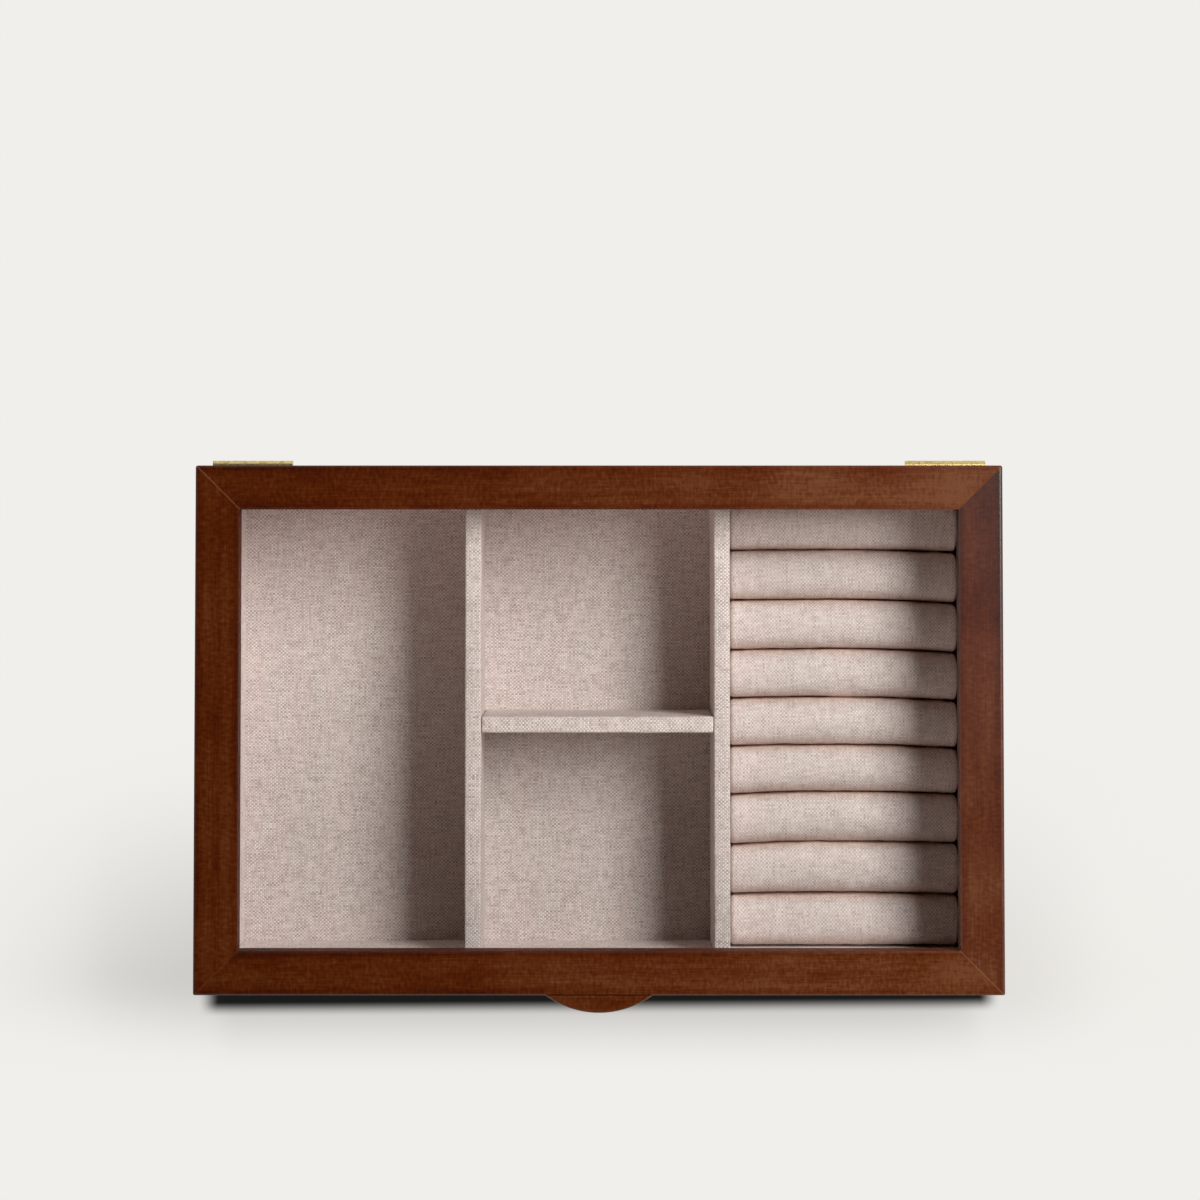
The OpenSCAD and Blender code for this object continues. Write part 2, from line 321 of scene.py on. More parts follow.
light_world()
print("the fill is", FILL_FRONT, "in front and", FILL_LEFT, "on the left")

# %% [markdown]
# ## A pale floor
# The floor shows its own colour to the camera and takes only a share of the box's shadow, as
# paper does that is lit from all sides. That share grows towards the front, where the light
# doesn't reach behind the box, and fades out with distance, so the background is even. Right
# beside the box a shadow is painted into the paper's colour, most of all in front, where a dark
# painted contact shadow runs along the box.

# %% Lay the floor
FLOOR_REACH = 8.0
SHADOW_SHARE = 0.38
SHADOW_GROWS = (0.01, 0.125)
FADE_BESIDE = (0.02, 0.12)
FADE_AHEAD = (-0.002, 0.042)
# painted shade: these darken the paper's colour beside and in front of the box
PAINTED_SHADE_BESIDE = 0.12       # how much the paper darkens near the ends of the box
PAINTED_SHADE_BESIDE_FADE = (0.0, 0.05)
PAINTED_SHADE_AHEAD = 0.15        # how much more it darkens in front
PAINTED_SHADE_AHEAD_ENDS = (-8 * MM, 4 * MM)
PAINTED_SHADE_GROWS = (0.0, 0.09)
PAINTED_SHADE_FADE = (4 * MM, 34 * MM)
# painted shadow: a dark contact line painted into the paper along the front of the box
PAINTED_CONTACT_DARKNESS = 0.98
CONTACT_AHEAD = 7.8 * MM
CONTACT_SLANT = 0.0065   # the dark line is a little wider towards the left
CONTACT_ENDS = (-1.0 * MM, 6.0 * MM)
CONTACT_FADE = (2.0 * MM, 7.0 * MM)


def lay_floor():
    mesh = bpy.data.meshes.new("studio_floor")
    corners = ((-1, -1), (1, -1), (1, 1), (-1, 1))
    places = [(x * FLOOR_REACH, y * FLOOR_REACH, 0) for x, y in corners]
    mesh.from_pydata(places, [], [(0, 1, 2, 3)])
    floor = bpy.data.objects.new("studio_floor", mesh)
    bpy.context.scene.collection.objects.link(floor)
    material, tree = new_material("pale_floor")
    x, y, _ = tree.split(tree.object_place())
    beside = abs(x) - BOX_HALF.x
    ahead = abs(y) - BOX_HALF.y
    # painted shadow: the paper's colour is darkened beside and in front of the box, with a dark
    # painted contact line along its front
    from_line = abs(y + CONTACT_AHEAD - x * CONTACT_SLANT) - BOX_HALF.y
    painted_contact_shadow = (1 - from_line.between(*CONTACT_FADE)) * (1 - beside.between(*CONTACT_ENDS))
    painted_floor_shade = (1 - beside.between(*PAINTED_SHADE_BESIDE_FADE)) * PAINTED_SHADE_BESIDE
    painted_floor_shade = painted_floor_shade + (1 - beside.between(*PAINTED_SHADE_AHEAD_ENDS)) * PAINTED_SHADE_AHEAD
    painted_floor_shade = painted_floor_shade * (-y).between(*PAINTED_SHADE_GROWS) * (1 - ahead.between(*PAINTED_SHADE_FADE))
    colour = tree.scaled(PALE, (1 - painted_contact_shadow * PAINTED_CONTACT_DARKNESS) * (1 - painted_floor_shade))
    near = (1 - beside.between(*FADE_BESIDE)) * (1 - ahead.between(*FADE_AHEAD)) ** 2
    shaded = (-y).between(*SHADOW_GROWS) * near * SHADOW_SHARE
    paper = tree.node("ShaderNodeBsdfDiffuse", None, {"Color": colour})
    glow = tree.node("ShaderNodeEmission", None, {"Color": colour})
    share = (1 - shaded) * seen(tree)
    surface(tree, tree.node("ShaderNodeMixShader", None, {0: share, 1: paper, 2: glow}))
    dress(floor, material)


lay_floor()
print(f"the floor reaches {FLOOR_REACH:.0f} m each way")

# %% [markdown]
# ## Stained wood
# The rails and walls are a fine-grained wood, stained red-brown and sealed with a satin
# lacquer. The grain runs along each piece, so the pattern is drawn out along X on the front
# and back pieces and along Y on the sides, and each piece starts in a place of its own.
# Four patterns lie over each other: wide streaks, fibres, short pores, and the small soft
# flecks across the grain that catch the light. The colour is painted lighter towards the right,
# as painted light from the lamp on that side, and it is darker along the rims. The mitres show
# as a thin paler line at 45 degrees, the rails' edges are eased by hand, and the faces below
# them are less polished than the top.

# %% Stained wood
WOOD_STOPS = (
    (0.0, (0.030, 0.0045, 0.0002)),
    (0.30, (0.060, 0.0085, 0.0003)),
    (0.45, (0.083, 0.0125, 0.0005)),
    (0.60, (0.104, 0.0195, 0.0017)),
    (0.75, (0.123, 0.0298, 0.0062)),
    (1.0, (0.169, 0.0560, 0.0195)),
)
# a board's own tone, how much that rises over a metre towards the back, and its gloss
BOARD_TONES = {"lid_left_stile": (0.12, 0.0, 0.25), "lid_right_stile": (-0.36, -3.0, 0.55)}
PLAIN_BOARD = (0.0, 0.0, 0.25)
MIDDLE_TONE = 0.48
# painted light: the wood's tone rises towards the lamp on the right
PAINTED_LIGHT_TO_RIGHT = 1.9   # how much the tone rises over a metre towards the right
RIM_TONE = 0.22          # how much darker a rim is than the middle of a rail
PORE_COLOUR = (0.022, 0.004, 0.001)
MITRE_COLOUR = (0.30, 0.13, 0.065)
MITRE_EDGES = (0.07 * MM, 0.24 * MM)
OPEN_MITRE = 0.36        # two mitres have opened a little, at the back left and front right
CASE_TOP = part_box("case_front_wall")[1].z
RAIL_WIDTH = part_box("lid_left_stile")[1].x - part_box("lid_left_stile")[0].x
EASED = 0.9 * MM
DARK_RIM = 3.5 * MM
LIP_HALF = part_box("thumb_lip")[1].x
POLISHED = 0.27          # the roughness of the top
OUTSIDE_DULLER = 0.15
INSIDE_DULLER = 0.4


def mitre_line(tree, x, y):
    """1 on the joints that run at 45 degrees through the corners, and 0 elsewhere."""
    off = abs((BOX_HALF.x - abs(x)) - (BOX_HALF.y - abs(y))) * math.sqrt(0.5)
    return 1 - off.between(*MITRE_EDGES)


def stained_wood(name, along, start):
    """A board whose grain runs in X if along is 0, and in Y if it is 1.

    start is where in the plank this board was cut, in metres."""
    material, tree = new_material("stained_wood_" + name)
    place = tree.split(tree.object_place())
    run = place[along] + start
    across = place[1 - along] + start * 0.37
    up = place[2]

    def drawn_out(lengthwise, crosswise, detail):
        stretched = tree.vector(run * lengthwise, across * crosswise, up * crosswise)
        return tree.noise(stretched, 1.0, detail)

    streak = drawn_out(9, 200, 3.0) - 0.5
    fibre = drawn_out(120, 2200, 2.0) - 0.5
    fleck = drawn_out(1000, 480, 3.0) - 0.5
    patch = drawn_out(50, 60, 2.0) - 0.5
    pores = drawn_out(300, 2900, 1.0).between(0.62, 0.72)
    own_tone, own_slope, gloss = BOARD_TONES.get(name, PLAIN_BOARD)
    # painted light: the tone rises towards the right, where the lamp is
    tone = place[0] * PAINTED_LIGHT_TO_RIGHT + place[1] * own_slope + (MIDDLE_TONE + own_tone)
    tone = tone + streak * 0.6 + fibre * 0.5 + fleck * 0.8 + patch * 0.5
    from_outside = (BOX_HALF.x - abs(place[0])).math("MINIMUM", BOX_HALF.y - abs(place[1]))
    in_lid_front = (place[1] < 0) * (up > CASE_TOP)
    at_lip = (1 - abs(place[0]).between(LIP_HALF, LIP_HALF + EASED)) * in_lid_front
    from_outside = from_outside.math("MAXIMUM", at_lip * DARK_RIM)
    from_inside = RAIL_WIDTH - from_outside
    rim = from_outside.between(0, DARK_RIM) * from_inside.between(0, DARK_RIM)
    tone = tone + rim * RIM_TONE
    colour = tree.mix(pores * 0.4, tree.ramp(tone, WOOD_STOPS), PORE_COLOUR)
    open_joint = (place[0] * place[1] < 0) * OPEN_MITRE
    line = mitre_line(tree, place[0], place[1]) * (open_joint + 0.08 + patch * 0.6)
    colour = tree.mix(line, colour, MITRE_COLOUR)
    shoulder = from_outside.between(0, EASED) * from_inside.between(0, EASED)
    relief = tree.bump(shoulder * 0.05 + fibre * 0.004, MM, 1.0)
    outer_face = 1 - from_outside.between(0, EASED)
    inner_face = 1 - from_inside.between(0, EASED)
    dull = outer_face * OUTSIDE_DULLER + inner_face * INSIDE_DULLER
    principled(tree, Base_Color=colour, Roughness=dull + POLISHED + patch * 0.06,
               Specular_IOR_Level=gloss, Normal=relief)
    return material


# %% Give each wooden piece its own board
wood_nodes = nodes_of("stained_wood")
for index, node in enumerate(wood_nodes):
    runs_in_y = "left" in node or "right" in node
    dress(frame["nodes"][node], stained_wood(node, int(runs_in_y), 0.31 + index * 0.413))
print(len(wood_nodes), "wooden pieces:", ", ".join(wood_nodes))

# %% [markdown]
# ## Brass
# The hinges are bright brass, rolled and then brushed, so their grain is a set of very fine
# parallel lines. Handling has left a browner film in places, which is also less shiny.

# %% Brass
BRASS_COLOUR = (0.76, 0.585, 0.27)
FILM_COLOUR = (0.36, 0.25, 0.07)


def brass():
    material, tree = new_material("brushed_brass")
    place = tree.object_place()
    x, y, z = tree.split(place)
    brushed = tree.noise(tree.vector(x * 300, y * 6000, z * 6000))
    film = tree.noise(place, 700.0, 3.0).between(0.42, 0.66)
    colour = tree.mix(film * 0.6, BRASS_COLOUR, FILM_COLOUR)
    principled(tree, Base_Color=colour, Metallic=1.0, Roughness=0.2 + brushed * 0.1 + film * 0.12,
               Normal=tree.bump(brushed, 0.01 * MM, 0.4))
    return material


brass_nodes = nodes_of("brass")
brass_finish = brass()
for node in brass_nodes:
    dress(frame["nodes"][node], brass_finish)
print(len(brass_nodes), "brass pieces")

# %% [markdown]
# ## Base panel, felt and glass
# The base is a plain board with felt glued under it, so that the box doesn't scratch a table.
# The glass is thin and clear. A real refracting glass would throw noisy patches of light
# into the bays, so this one lets light straight through. It mirrors what a coated picture
# glass does: nothing when looked at squarely, and more the flatter the view.

# %% Felt and plain board
FELT_STOPS = ((0.3, (0.020, 0.012, 0.008)), (0.7, (0.060, 0.040, 0.028)))
PLAIN_STOPS = ((0.3, (0.23, 0.115, 0.045)), (0.7, (0.42, 0.25, 0.12)))


def felt():
    material, tree = new_material("brown_felt")
    place = tree.object_place()
    fluff = tree.noise(place, 900.0, 6.0, 0.7)
    tone = fluff * 0.7 + tree.noise(place, 60.0) * 0.3
    principled(tree, Base_Color=tree.ramp(tone, FELT_STOPS), Roughness=0.95, Sheen_Weight=0.4,
               Normal=tree.bump(fluff, 0.25 * MM, 0.7))
    return material


def plain_board():
    material, tree = new_material("plain_board")
    x, y, z = tree.split(tree.object_place())
    grain = tree.noise(tree.vector(x * 12, y * 420, z * 420), 1.0, 4.0)
    principled(tree, Base_Color=tree.ramp(grain, PLAIN_STOPS), Roughness=0.6,
               Normal=tree.bump(grain, 0.05 * MM, 0.5))
    return material


dress(frame["nodes"]["base_felt"], felt())
dress(frame["nodes"]["base_panel"], plain_board())
print("the base panel and its felt are dressed")

# %% Glass
GLASS_TINT = (0.995, 0.998, 0.996, 1)
MIRRORED_SQUARELY = 0.045    # a little over what bare glass mirrors, which the coating removes


def clear_glass():
    material, tree = new_material("clear_glass")
    smear = tree.noise(tree.object_place(), 14.0, 3.0).between(0.45, 0.8)
    outside = 1 - tree.node("ShaderNodeNewGeometry", None, None, "Backfacing")
    fresnel = tree.node("ShaderNodeFresnel", None, {"IOR": 1.5})
    mirrored = (fresnel - MIRRORED_SQUARELY).math("MAXIMUM", 0.0) * outside * (1 - smear * 0.15)
    through = tree.node("ShaderNodeBsdfTransparent", None, {"Color": GLASS_TINT})
    mirror = tree.node("ShaderNodeBsdfGlossy", None, {"Roughness": 0.01})
    surface(tree, tree.node("ShaderNodeMixShader", None, {0: mirrored, 1: through, 2: mirror}))
    return material


dress(frame["nodes"]["glass_pane"], clear_glass())
glass_low, glass_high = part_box("glass_pane")
print(f"the glass is {(glass_high.z - glass_low.z) / MM:.1f} mm thick")

# %% [markdown]
# ## Linen
# The cloth is a plain weave of natural flax, with not quite two threads to the millimetre.
# Each crossing is a small pillow: the product of two sines is positive where the warp lies
# on top and negative where the weft does. The warp is bleached and the weft is browner,
# every crossing is a little different, and here and there a thread has a dark slub. The
# pattern reads the piece's own UV map, laid out in metres of cloth, so the threads turn over
# an edge as real ones do.

# %% Linen
CLOTH_MAP = "cloth"
WARP_PITCH = 0.622 * MM
WEFT_PITCH = 0.564 * MM
WARP_STOPS = (
    (0.25, (0.70, 0.61, 0.58)),
    (0.5, (0.905, 0.82, 0.79)),
    (0.75, (0.97, 0.93, 0.91)),
)
WEFT_STOPS = (
    (0.25, (0.40, 0.305, 0.28)),
    (0.5, (0.625, 0.51, 0.48)),
    (0.75, (0.78, 0.685, 0.655)),
)
SLUB_COLOUR = (0.26, 0.17, 0.14)
MEAN_COLOUR = (0.76, 0.66, 0.63)
THREAD_DRIFT = 1.25      # by how many threads the weave wanders
TONES_PER_M = 200        # how often a thread changes its tone
SLUBS_PER_M = 330
OWN_TONE = 0.34          # how much the crossings differ from each other
# painted shade: a crossing is painted darker towards its edge, where the threads dip
PAINTED_PILLOW_SHADE = 0.24      # how much darker a crossing is at its edge
PILLOW_MEAN = 0.67
# painted light: flat cloth is painted lighter towards the back, nearer the lamp
PAINTED_LIGHT_TO_BACK = 1.3    # how much of its brightness flat cloth gains over a metre
# painted bounce light: the warm tint and the heights below which rolls are tinted
PAINTED_BOUNCE_TINT = (1.0, 0.88, 0.81, 1.0)
PAINTED_BOUNCE_HEIGHTS = (23 * MM, 28 * MM)


def linen(name, start, brightness, contrast, painted_bounce=False):
    """Linen for one piece, where start is its place in the bolt of cloth, in metres.

    contrast is 1 for the full weave and 0 for a plain colour. With the painted bounce on, the
    cloth is painted warmer low down, as painted bounce light where all its light has come off
    other cloth; flat cloth otherwise gets painted light towards the back. brightness scales the
    whole colour, as painted light and shade set piece by piece."""
    material, tree = new_material("linen_" + name)
    u, v, _ = tree.split(tree.node("ShaderNodeUVMap", {"uv_map": CLOTH_MAP}))
    u = u + start
    v = v + start * 0.71
    drift = tree.noise(tree.vector(u, v), 60.0, 1.0) * THREAD_DRIFT
    warp = u / WARP_PITCH + drift
    weft = v / WEFT_PITCH - drift
    crossing = (warp * math.pi).math("SINE") * (weft * math.pi).math("SINE")
    pillow = abs(crossing) ** 0.5
    warp_on_top = crossing > 0
    warp_number, weft_number = warp.math("FLOOR"), weft.math("FLOOR")
    warp_tone = tree.noise(tree.vector(warp_number * 3.7, v * TONES_PER_M), 1.0, 1.0)
    weft_tone = tree.noise(tree.vector(weft_number * 3.7, u * TONES_PER_M, 9.0), 1.0, 1.0)
    own = tree.noise(tree.vector(warp_number * 1.37, weft_number * 1.73, 21.0), 1.0, 0.0) - 0.5
    colour = tree.mix(warp_on_top, tree.ramp(weft_tone + own * OWN_TONE, WEFT_STOPS),
                      tree.ramp(warp_tone + own * OWN_TONE, WARP_STOPS))
    warp_slub = tree.noise(tree.vector(warp_number * 5.3, v * SLUBS_PER_M, 4.0))
    weft_slub = tree.noise(tree.vector(weft_number * 5.3, u * SLUBS_PER_M, 13.0))
    slub = (warp_slub * warp_on_top + weft_slub * (1 - warp_on_top)).between(0.63, 0.72)
    colour = tree.mix(slub * 0.45, colour, SLUB_COLOUR)
    colour = tree.mix(contrast, MEAN_COLOUR, colour)
    lines = (warp_tone + weft_tone - 1) * 0.14 + 1
    # painted shade at the edges of each crossing
    pillow_painted_shade = (pillow - PILLOW_MEAN) * (PAINTED_PILLOW_SHADE * contrast) + 1
    shade = pillow_painted_shade * lines
    _, y, z = tree.split(tree.object_place())
    if painted_bounce:
        settings = {"data_type": "RGBA", "blend_type": "MULTIPLY"}
        # painted bounce light: cloth low down is tinted warmer
        painted_bounce_share = 1 - z.between(*PAINTED_BOUNCE_HEIGHTS)
        colour = tree.node("ShaderNodeMix", settings, {0: painted_bounce_share, 6: colour, 7: PAINTED_BOUNCE_TINT}, 2)
    else:
        # painted light: flat cloth grows lighter towards the back
        shade = shade * (y * PAINTED_LIGHT_TO_BACK + 1)
    colour = tree.scaled(colour, shade * brightness)
    relief = tree.bump(pillow + slub * 0.6, 0.09 * MM, 0.55)
    principled(tree, Base_Color=colour, Roughness=0.92, Specular_IOR_Level=0.25,
               Sheen_Weight=0.06, Normal=relief)
    return material


# %% [markdown]
# ## Boards covered in linen
# Linings, floor pads and dividers are thin boards with cloth drawn round them. Each could be
# a bevelled cube, but then the weave would break at every edge. Here the outline of the
# board is swept along its length, and the distance walked round the outline becomes the
# cloth's own coordinate. The first and last rings are narrower and round off the ends, and a
# faint ripple keeps the faces from looking machined.

# %% The outline of a board
CORNER_STEPS = 5
LONGEST_STEP = 2.5 * MM


def straight(start, end):
    """Points from start up to end, without end."""
    count = max(1, math.ceil((end - start).length / LONGEST_STEP))
    return [start.lerp(end, k / count) for k in range(count)]


def outline(width, height, radii):
    """Points round a section, anticlockwise from the middle of its foot.

    radii are those of the lower right, upper right, upper left and lower left corners."""
    corners = []
    for turn, (side, top, radius) in enumerate(zip((1, 1, 0, 0), (0, 1, 1, 0), radii)):
        centre = Vector((width - radius if side else radius, height - radius if top else radius))
        angles = [math.radians(90 * (turn - 1 + k / CORNER_STEPS)) for k in range(CORNER_STEPS + 1)]
        corners.append([centre + Vector((math.cos(a), math.sin(a))) * radius for a in angles])
    foot = Vector((width / 2, 0))
    points = []
    before = foot
    for arc in corners:
        points += straight(before, arc[0]) + arc[:-1]
        before = arc[-1]
    return points + straight(before, foot)


def walked(points):
    """The distance walked round a closed outline, up to each point and back to the first."""
    steps = [(b - a).length for a, b in zip(points, points[1:] + points[:1])]
    return [0.0, *np.cumsum(steps)]


# %% Sweep the outline along the board
END_STEPS = 3


def rings(length, end_r):
    """(distance along, inset) of each ring, from one end of the board to the other."""
    angles = [math.radians(90) * k / END_STEPS for k in range(END_STEPS + 1)]
    near = [(end_r * (1 - math.cos(a)), end_r * (1 - math.sin(a))) for a in angles]
    count = max(2, math.ceil((length - 2 * end_r) / LONGEST_STEP))
    body = [(end_r + (length - 2 * end_r) * k / count, 0.0) for k in range(1, count)]
    return near + body + [(length - along, inset) for along, inset in reversed(near)]


def sweep(width, height, radii, length, end_r, placed):
    """A closed skin with the cloth's map on it. placed turns (across, up, along) into a place."""
    mesh = bmesh.new()
    cloth = mesh.loops.layers.uv.new(CLOTH_MAP)
    points = outline(width, height, radii)
    around = walked(points)
    skins = []
    for along, inset in rings(length, end_r):
        shrink = Vector((1 - 2 * inset / width, 1 - 2 * inset / height))
        middle = Vector((width, height)) / 2
        flat = [middle + (p - middle) * shrink for p in points]
        skins.append((along, [mesh.verts.new(placed(p.x, p.y, along)) for p in flat]))
    for (near, ring_a), (far, ring_b) in zip(skins, skins[1:]):
        for k, corner in enumerate(ring_a):
            after = (k + 1) % len(points)
            face = mesh.faces.new((corner, ring_a[after], ring_b[after], ring_b[k]))
            here, there = around[k], around[k + 1]
            spots = ((here, near), (there, near), (there, far), (here, far))
            for loop, spot in zip(face.loops, spots):
                loop[cloth].uv = spot
    for _, ring in (skins[0], skins[-1]):
        for loop, point in zip(mesh.faces.new(ring).loops, points):
            loop[cloth].uv = point
    return mesh


# %% Finish a swept skin
RIPPLE = 0.12 * MM
RIPPLES_PER_M = 90


def ripple(mesh):
    """Lets the skin sink by up to RIPPLE, never rise, so it stays inside its solid."""
    mesh.normal_update()
    for vert in mesh.verts:
        vert.co += vert.normal * RIPPLE * (noise.noise(vert.co * RIPPLES_PER_M) - 1) / 2


def piece_from(mesh, name):
    """A smooth object from a bmesh, with its faces pointing outwards."""
    bmesh.ops.recalc_face_normals(mesh, faces=mesh.faces)
    data = bpy.data.meshes.new(name)
    mesh.to_mesh(data)
    mesh.free()
    data.shade_smooth()
    piece = bpy.data.objects.new(name, data)
    bpy.context.scene.collection.objects.link(piece)
    return piece


def stands_for(piece, node):
    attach(piece, "case")
    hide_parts(node)


# %% Cover every board in the case
TUCKED = Vector((0.35, 0.35, 0)) * MM      # how far a floor pad is pressed into the linings
SOFT_R = 0.7 * MM
SHARP_R = 0.2 * MM
ALL_SHARP = (SHARP_R,) * 4
BOTH_TOPS = (SHARP_R, SOFT_R, SOFT_R, SHARP_R)
HIGH_SIDE_TOP = (SHARP_R, SOFT_R, SHARP_R, SHARP_R)
LOW_SIDE_TOP = (SHARP_R, SHARP_R, SOFT_R, SHARP_R)


def cover(node, runs_in_x, radii, end_r):
    """Replaces a CAD board by a covered one, with the given corners across its run."""
    low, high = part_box(node)
    if node.startswith("floor_pad"):
        low, high = low - TUCKED, high + TUCKED
    size = high - low
    if runs_in_x:
        mesh = sweep(size.y, size.z, radii, size.x, end_r,
                     lambda across, up, along: low + Vector((along, across, up)))
    else:
        mesh = sweep(size.x, size.z, radii, size.y, end_r,
                     lambda across, up, along: low + Vector((across, along, up)))
    bmesh.ops.recalc_face_normals(mesh, faces=mesh.faces)
    ripple(mesh)
    board = piece_from(mesh, "linen_" + node)
    stands_for(board, node)
    return board


BOARD_CONTRAST = 0.85
# name, runs along X, corner radii, radius at the ends, brightness (painted light and shade, set
# board by board)
BOARDS = (
    ("lining_left", False, HIGH_SIDE_TOP, SHARP_R, 1.12),
    ("lining_right", False, LOW_SIDE_TOP, SHARP_R, 0.97),
    ("lining_front", True, HIGH_SIDE_TOP, SHARP_R, 1.15),
    ("lining_back", True, LOW_SIDE_TOP, SHARP_R, 0.97),
    ("divider_left", False, BOTH_TOPS, SHARP_R, 0.96),
    ("divider_right", False, BOTH_TOPS, SHARP_R, 0.96),
    ("divider_cross", True, BOTH_TOPS, SOFT_R, 1.0),
    ("floor_pad_left", False, ALL_SHARP, SHARP_R, 0.94),
    ("floor_pad_middle_rear", False, ALL_SHARP, SHARP_R, 0.88),
    ("floor_pad_middle_front", False, ALL_SHARP, SHARP_R, 0.88),
    ("floor_pad_rings", False, ALL_SHARP, SHARP_R, 0.94),
)
for index, (node, runs_in_x, radii, end_r, brightness) in enumerate(BOARDS):
    board = cover(node, runs_in_x, radii, end_r)
    dress(board, linen(node, 0.05 + index * 0.137, brightness, BOARD_CONTRAST))
print(len(BOARDS), "boards covered")

# %% [markdown]
# ## Ring rolls
# Nine foam bars wrapped in linen, pressed side by side so that a ring's band slips into the
# slot between two of them. No two are alike: the slots bow a little and drop at the ends.
# The nine follow one rule, so one Geometry Nodes tree makes them all. It bends a flat grid
# round the bar's section, draws the ends in, and lets the front and back faces follow the
# bowed slots. The cloth's map holds the metres walked round the section and along the bar.

# %% Where the slots between the rolls run
ROLLS_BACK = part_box(ROLL_NAMES[0])[1].y
ROLLS_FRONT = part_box(ROLL_NAMES[-1])[0].y
SLOT_GAP = 0.15 * MM
BOW_PEAK = 0.42          # how far along, from the left, a slot lies furthest back
# how far each slot between two rolls lies behind its even place, and how far its left and
# right ends drop forward, in mm, from the back of the bay to its front
SLOT_BOWS = (
    (0.0, 0.3, 0.9), (-0.2, 0.2, 1.3), (-0.2, 0.4, 1.3), (0.2, 0.4, 1.3),
    (0.8, 0.5, 1.2), (1.6, 1.0, 0.8), (1.6, 1.2, 0.6), (1.0, 0.4, 0.5),
)


def slots():
    """(place of the slot, left drop, right drop) in metres, with the bay's two ends."""
    pitch = (ROLLS_BACK - ROLLS_FRONT) / len(ROLL_NAMES)
    inner = [(ROLLS_BACK - (k + 1) * pitch + shift * MM, left * MM, right * MM)
             for k, (shift, left, right) in enumerate(SLOT_BOWS)]
    return [(ROLLS_BACK, 0.0, 0.0), *inner, (ROLLS_FRONT, 0.0, 0.0)]


print("slots at", [round(place / MM, 1) for place, _, _ in slots()], "mm")

# %% The rule for one roll, as Geometry Nodes
AROUND = 40
ALONG = 62
CAP_ROWS = 2             # rows from the middle of an end to its edge
DOME_ROWS = 4            # rows that turn from the end to the side
ROLL_SIZES = (
    "Left", "Length", "Foot", "Width", "Height", "Crown", "Edge Radius", "End Radius",
    "Back", "Back Left Drop", "Back Right Drop", "Front", "Front Left Drop", "Front Right Drop",
)


def slot_line(share, place, left_drop, right_drop):
    """Y of a slot, where share runs from 0 at its left end to 1 at its right end."""
    left = ((BOW_PEAK - share) / BOW_PEAK).math("MAXIMUM", 0.0)
    right = ((share - BOW_PEAK) / (1 - BOW_PEAK)).math("MAXIMUM", 0.0)
    return place - left_drop * left * left - right_drop * right * right


def section_point(tree, given, u):
    """The point of a roll's section at the share u of the way round, from its foot's middle."""
    r, width = given["Edge Radius"], given["Width"]
    height = given["Height"] - given["Crown"]
    box = tree.node("GeometryNodeCurvePrimitiveQuadrilateral", {"mode": "RECTANGLE"},
                    {0: width, 1: height})
    box = tree.node("GeometryNodeFilletCurve", {"mode": "POLY"},
                    {"Curve": box, "Count": 8, "Radius": r})
    arc, flat, upright = r * (math.pi / 2), width - r * 2, height - r * 2
    whole = (arc * 2 + flat + upright) * 2
    foot_middle = (arc * 3 + flat * 1.5 + upright) / whole
    factor = (u + foot_middle).math("FRACT")
    point = tree.node("GeometryNodeSampleCurve", {"mode": "FACTOR", "use_all_curves": True},
                      {"Curves": box, "Factor": factor}, "Position")
    across, up, _ = tree.split(point)
    off = across / (width * 0.5)
    raised = (up / height + 0.5).between(0.3, 1.0)
    return across, up + height * 0.5 + given["Crown"] * (1 - off * off) * raised, whole


